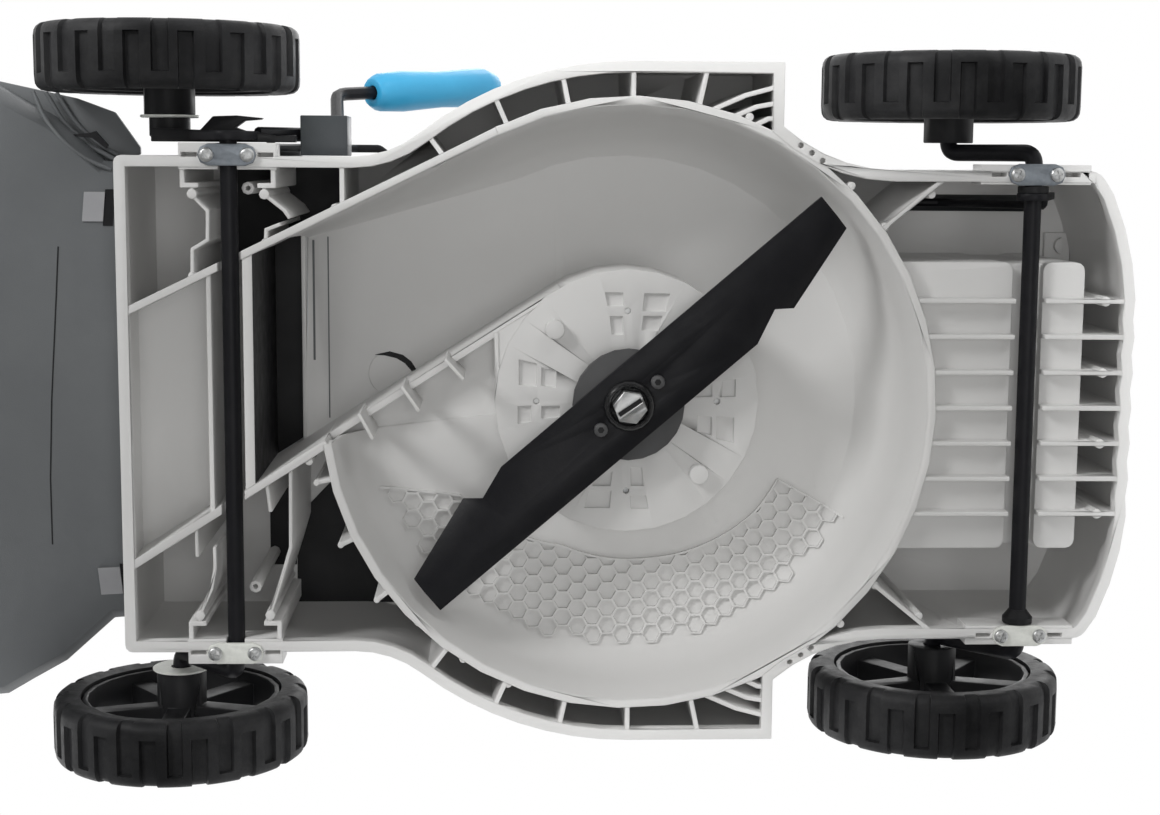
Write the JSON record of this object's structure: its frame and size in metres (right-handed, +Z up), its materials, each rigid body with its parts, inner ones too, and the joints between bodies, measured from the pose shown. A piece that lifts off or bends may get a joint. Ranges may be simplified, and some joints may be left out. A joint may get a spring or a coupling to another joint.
{
  "type": "cordless lawn mower",
  "caption": "Walk-behind rotary lawn mower with a ribbed deck, volute chamber and chute, cranked height axles, grass collector, battery pack and folding handle.",
  "frame": {"origin": "on the ground in the middle of the outline seen from above", "axes": "+X forward, +Y to the mower's left, +Z up"},
  "size_m": [1.1812, 0.4212, 1.0676],
  "materials": {
    "light_grey": "satin moulded, pale grey",
    "dark_grey": "fine textured, dark grey",
    "grey_plastic": "satin, mid grey",
    "black_plastic": "fine textured, black",
    "tyre_rubber": "moulded tread, matt black",
    "grip_foam": "soft foam, black",
    "black_steel": "black coated, satin",
    "steel": "bright",
    "zinc": "zinc plated",
    "tube_paint": "dark grey powder coat",
    "cyan": "satin, cyan",
    "red": "gloss, red"
  },
  "bodies": {
    "root": {"deck_shell": "light_grey", "lever_guide_box": "dark_grey", "motor": "zinc", "motor_controller": "black_plastic", "battery_contacts": "black_plastic", "top_cover": "dark_grey", "handle_bracket_left": "black_plastic", "handle_bracket_right": "black_plastic", "pivot_knob_left": "black_plastic", "pivot_knob_right": "black_plastic", "flap_pin": "steel", "axle_clamp_front_left": "zinc", "axle_clamp_front_right": "zinc", "axle_clamp_rear_left": "zinc", "axle_clamp_rear_right": "zinc"},
    "cutting_head": {"spindle_shaft": "steel", "blade_carrier": "black_plastic", "blade": "black_steel", "blade_washer": "black_plastic", "blade_nut": "zinc", "carrier_screw_front": "black_steel", "carrier_screw_rear": "black_steel"},
    "rear_axle_unit": {"rear_axle": "black_steel", "height_lever": "black_steel", "height_lever_grip": "cyan"},
    "front_axle_unit": {"front_axle": "black_steel", "front_link_arm": "black_steel"},
    "link": {"link_rod": "black_steel"},
    "flap": {"rear_flap": "dark_grey"},
    "collector": {"collector_tub": "dark_grey", "collector_lid": "dark_grey", "collector_handle": "black_plastic"},
    "fill_indicator": {"fill_flap": "black_plastic"},
    "battery": {"battery_pack": "black_plastic"},
    "battery_latch_button": {"battery_latch": "cyan"},
    "key": {"safety_key": "red"},
    "lower_handle": {"handle_leg_left": "tube_paint", "handle_leg_right": "tube_paint", "release_bolt_left": "zinc", "release_bolt_right": "zinc"},
    "release_left": {"quick_release_left": "black_plastic"},
    "release_right": {"quick_release_right": "black_plastic"},
    "upper_handle": {"upper_bar": "tube_paint", "grip_sleeve": "grip_foam", "switch_box": "black_plastic", "bail_holder": "black_plastic"},
    "lock": {"lock_button": "cyan"},
    "bail_lever": {"bail": "black_steel"},
    "wheel_rear_left": {"tyre_rear_left": "tyre_rubber", "wheel_rim_rear_left": "black_plastic", "wheel_cap_rear_left": "grey_plastic"},
    "wheel_rear_right": {"tyre_rear_right": "tyre_rubber", "wheel_rim_rear_right": "black_plastic", "wheel_cap_rear_right": "grey_plastic"},
    "wheel_front_left": {"tyre_front_left": "tyre_rubber", "wheel_rim_front_left": "black_plastic", "wheel_cap_front_left": "grey_plastic"},
    "wheel_front_right": {"tyre_front_right": "tyre_rubber", "wheel_rim_front_right": "black_plastic", "wheel_cap_front_right": "grey_plastic"}
  },
  "joints": [
    {"name": "blade_spin", "type": "hinge", "parent": "root", "child": "cutting_head", "pos_m": [0.30661, 0, 0.037], "axis": [0, 0, 1], "continuous": true},
    {"name": "cut_height", "type": "hinge", "parent": "root", "child": "rear_axle_unit", "pos_m": [0.08511, 0, 0.0305], "axis": [0, -1, 0], "range_deg": [0, 50]},
    {"name": "front_axle_turn", "type": "hinge", "parent": "root", "child": "front_axle_unit", "pos_m": [0.53111, 0, 0.0305], "axis": [0, -1, 0], "range_deg": [-0.5, 50.5]},
    {"name": "link_turn", "type": "hinge", "parent": "rear_axle_unit", "child": "link", "pos_m": [0.10342, -0.1495, 0.07161], "axis": [0, -1, 0], "range_deg": [-50.5, 0.5]},
    {"name": "flap_lift", "type": "hinge", "parent": "root", "child": "flap", "pos_m": [0.03461, 0, 0.1445], "axis": [0, 1, 0], "range_deg": [0, 75], "stiffness_Nm_per_rad": 0.12, "springref_deg": -11.46},
    {"name": "collector_pull", "type": "slide", "parent": "root", "child": "collector", "axis": [-1, 0, 0], "range_m": [0, 0.3]},
    {"name": "fill_flap_lift", "type": "hinge", "parent": "collector", "child": "fill_indicator", "pos_m": [-0.20339, 0, 0.3323], "axis": [0, 1, 0], "range_deg": [0, 35]},
    {"name": "battery_lift", "type": "slide", "parent": "root", "child": "battery", "axis": [0, 0, 1], "range_m": [0, 0.14]},
    {"name": "battery_latch_press", "type": "slide", "parent": "battery", "child": "battery_latch_button", "axis": [0, 0, -1], "range_m": [0, 0.003], "stiffness_N_per_m": 400, "springref_m": -0.002},
    {"name": "key_pull", "type": "slide", "parent": "root", "child": "key", "axis": [0, 0, 1], "range_m": [0, 0.03]},
    {"name": "lower_handle_fold", "type": "hinge", "parent": "root", "child": "lower_handle", "pos_m": [0.10161, 0, 0.16], "axis": [0, 1, 0], "range_deg": [0, 58]},
    {"name": "upper_handle_fold", "type": "hinge", "parent": "lower_handle", "child": "upper_handle", "pos_m": [-0.2801, 0, 0.64857], "axis": [0, 1, 0], "range_deg": [0, 165]},
    {"name": "release_left_open", "type": "hinge", "parent": "lower_handle", "child": "release_left", "pos_m": [-0.2801, 0.1626, 0.64857], "axis": [-0.788, 0, -0.6157], "range_deg": [0, 90]},
    {"name": "release_right_open", "type": "hinge", "parent": "lower_handle", "child": "release_right", "pos_m": [-0.2801, -0.1626, 0.64857], "axis": [0.788, 0, 0.6157], "range_deg": [0, 90]},
    {"name": "lock_button_press", "type": "slide", "parent": "upper_handle", "child": "lock", "axis": [-0.788, 0, -0.6157], "range_m": [0, 0.004], "stiffness_N_per_m": 300, "springref_m": -0.003},
    {"name": "bail_pull", "type": "hinge", "parent": "upper_handle", "child": "bail_lever", "pos_m": [-0.50735, 0, 0.97355], "axis": [0, -1, 0], "range_deg": [0, 26], "stiffness_Nm_per_rad": 0.5, "springref_deg": -20.05},
    {"name": "wheel_rear_left_spin", "type": "hinge", "parent": "rear_axle_unit", "child": "wheel_rear_left", "pos_m": [0.04661, 0.1736, 0.0735], "axis": [0, 1, 0], "continuous": true},
    {"name": "wheel_rear_right_spin", "type": "hinge", "parent": "rear_axle_unit", "child": "wheel_rear_right", "pos_m": [0.04661, -0.1736, 0.0735], "axis": [0, 1, 0], "continuous": true},
    {"name": "wheel_front_left_spin", "type": "hinge", "parent": "front_axle_unit", "child": "wheel_front_left", "pos_m": [0.49261, 0.161, 0.0735], "axis": [0, 1, 0], "continuous": true},
    {"name": "wheel_front_right_spin", "type": "hinge", "parent": "front_axle_unit", "child": "wheel_front_right", "pos_m": [0.49261, -0.161, 0.0735], "axis": [0, 1, 0], "continuous": true}
  ],
  "couplings": [
    {"joint": "front_axle_turn", "follows": "cut_height", "ratio": 1},
    {"joint": "link_turn", "follows": "cut_height", "ratio": -1}
  ]
}
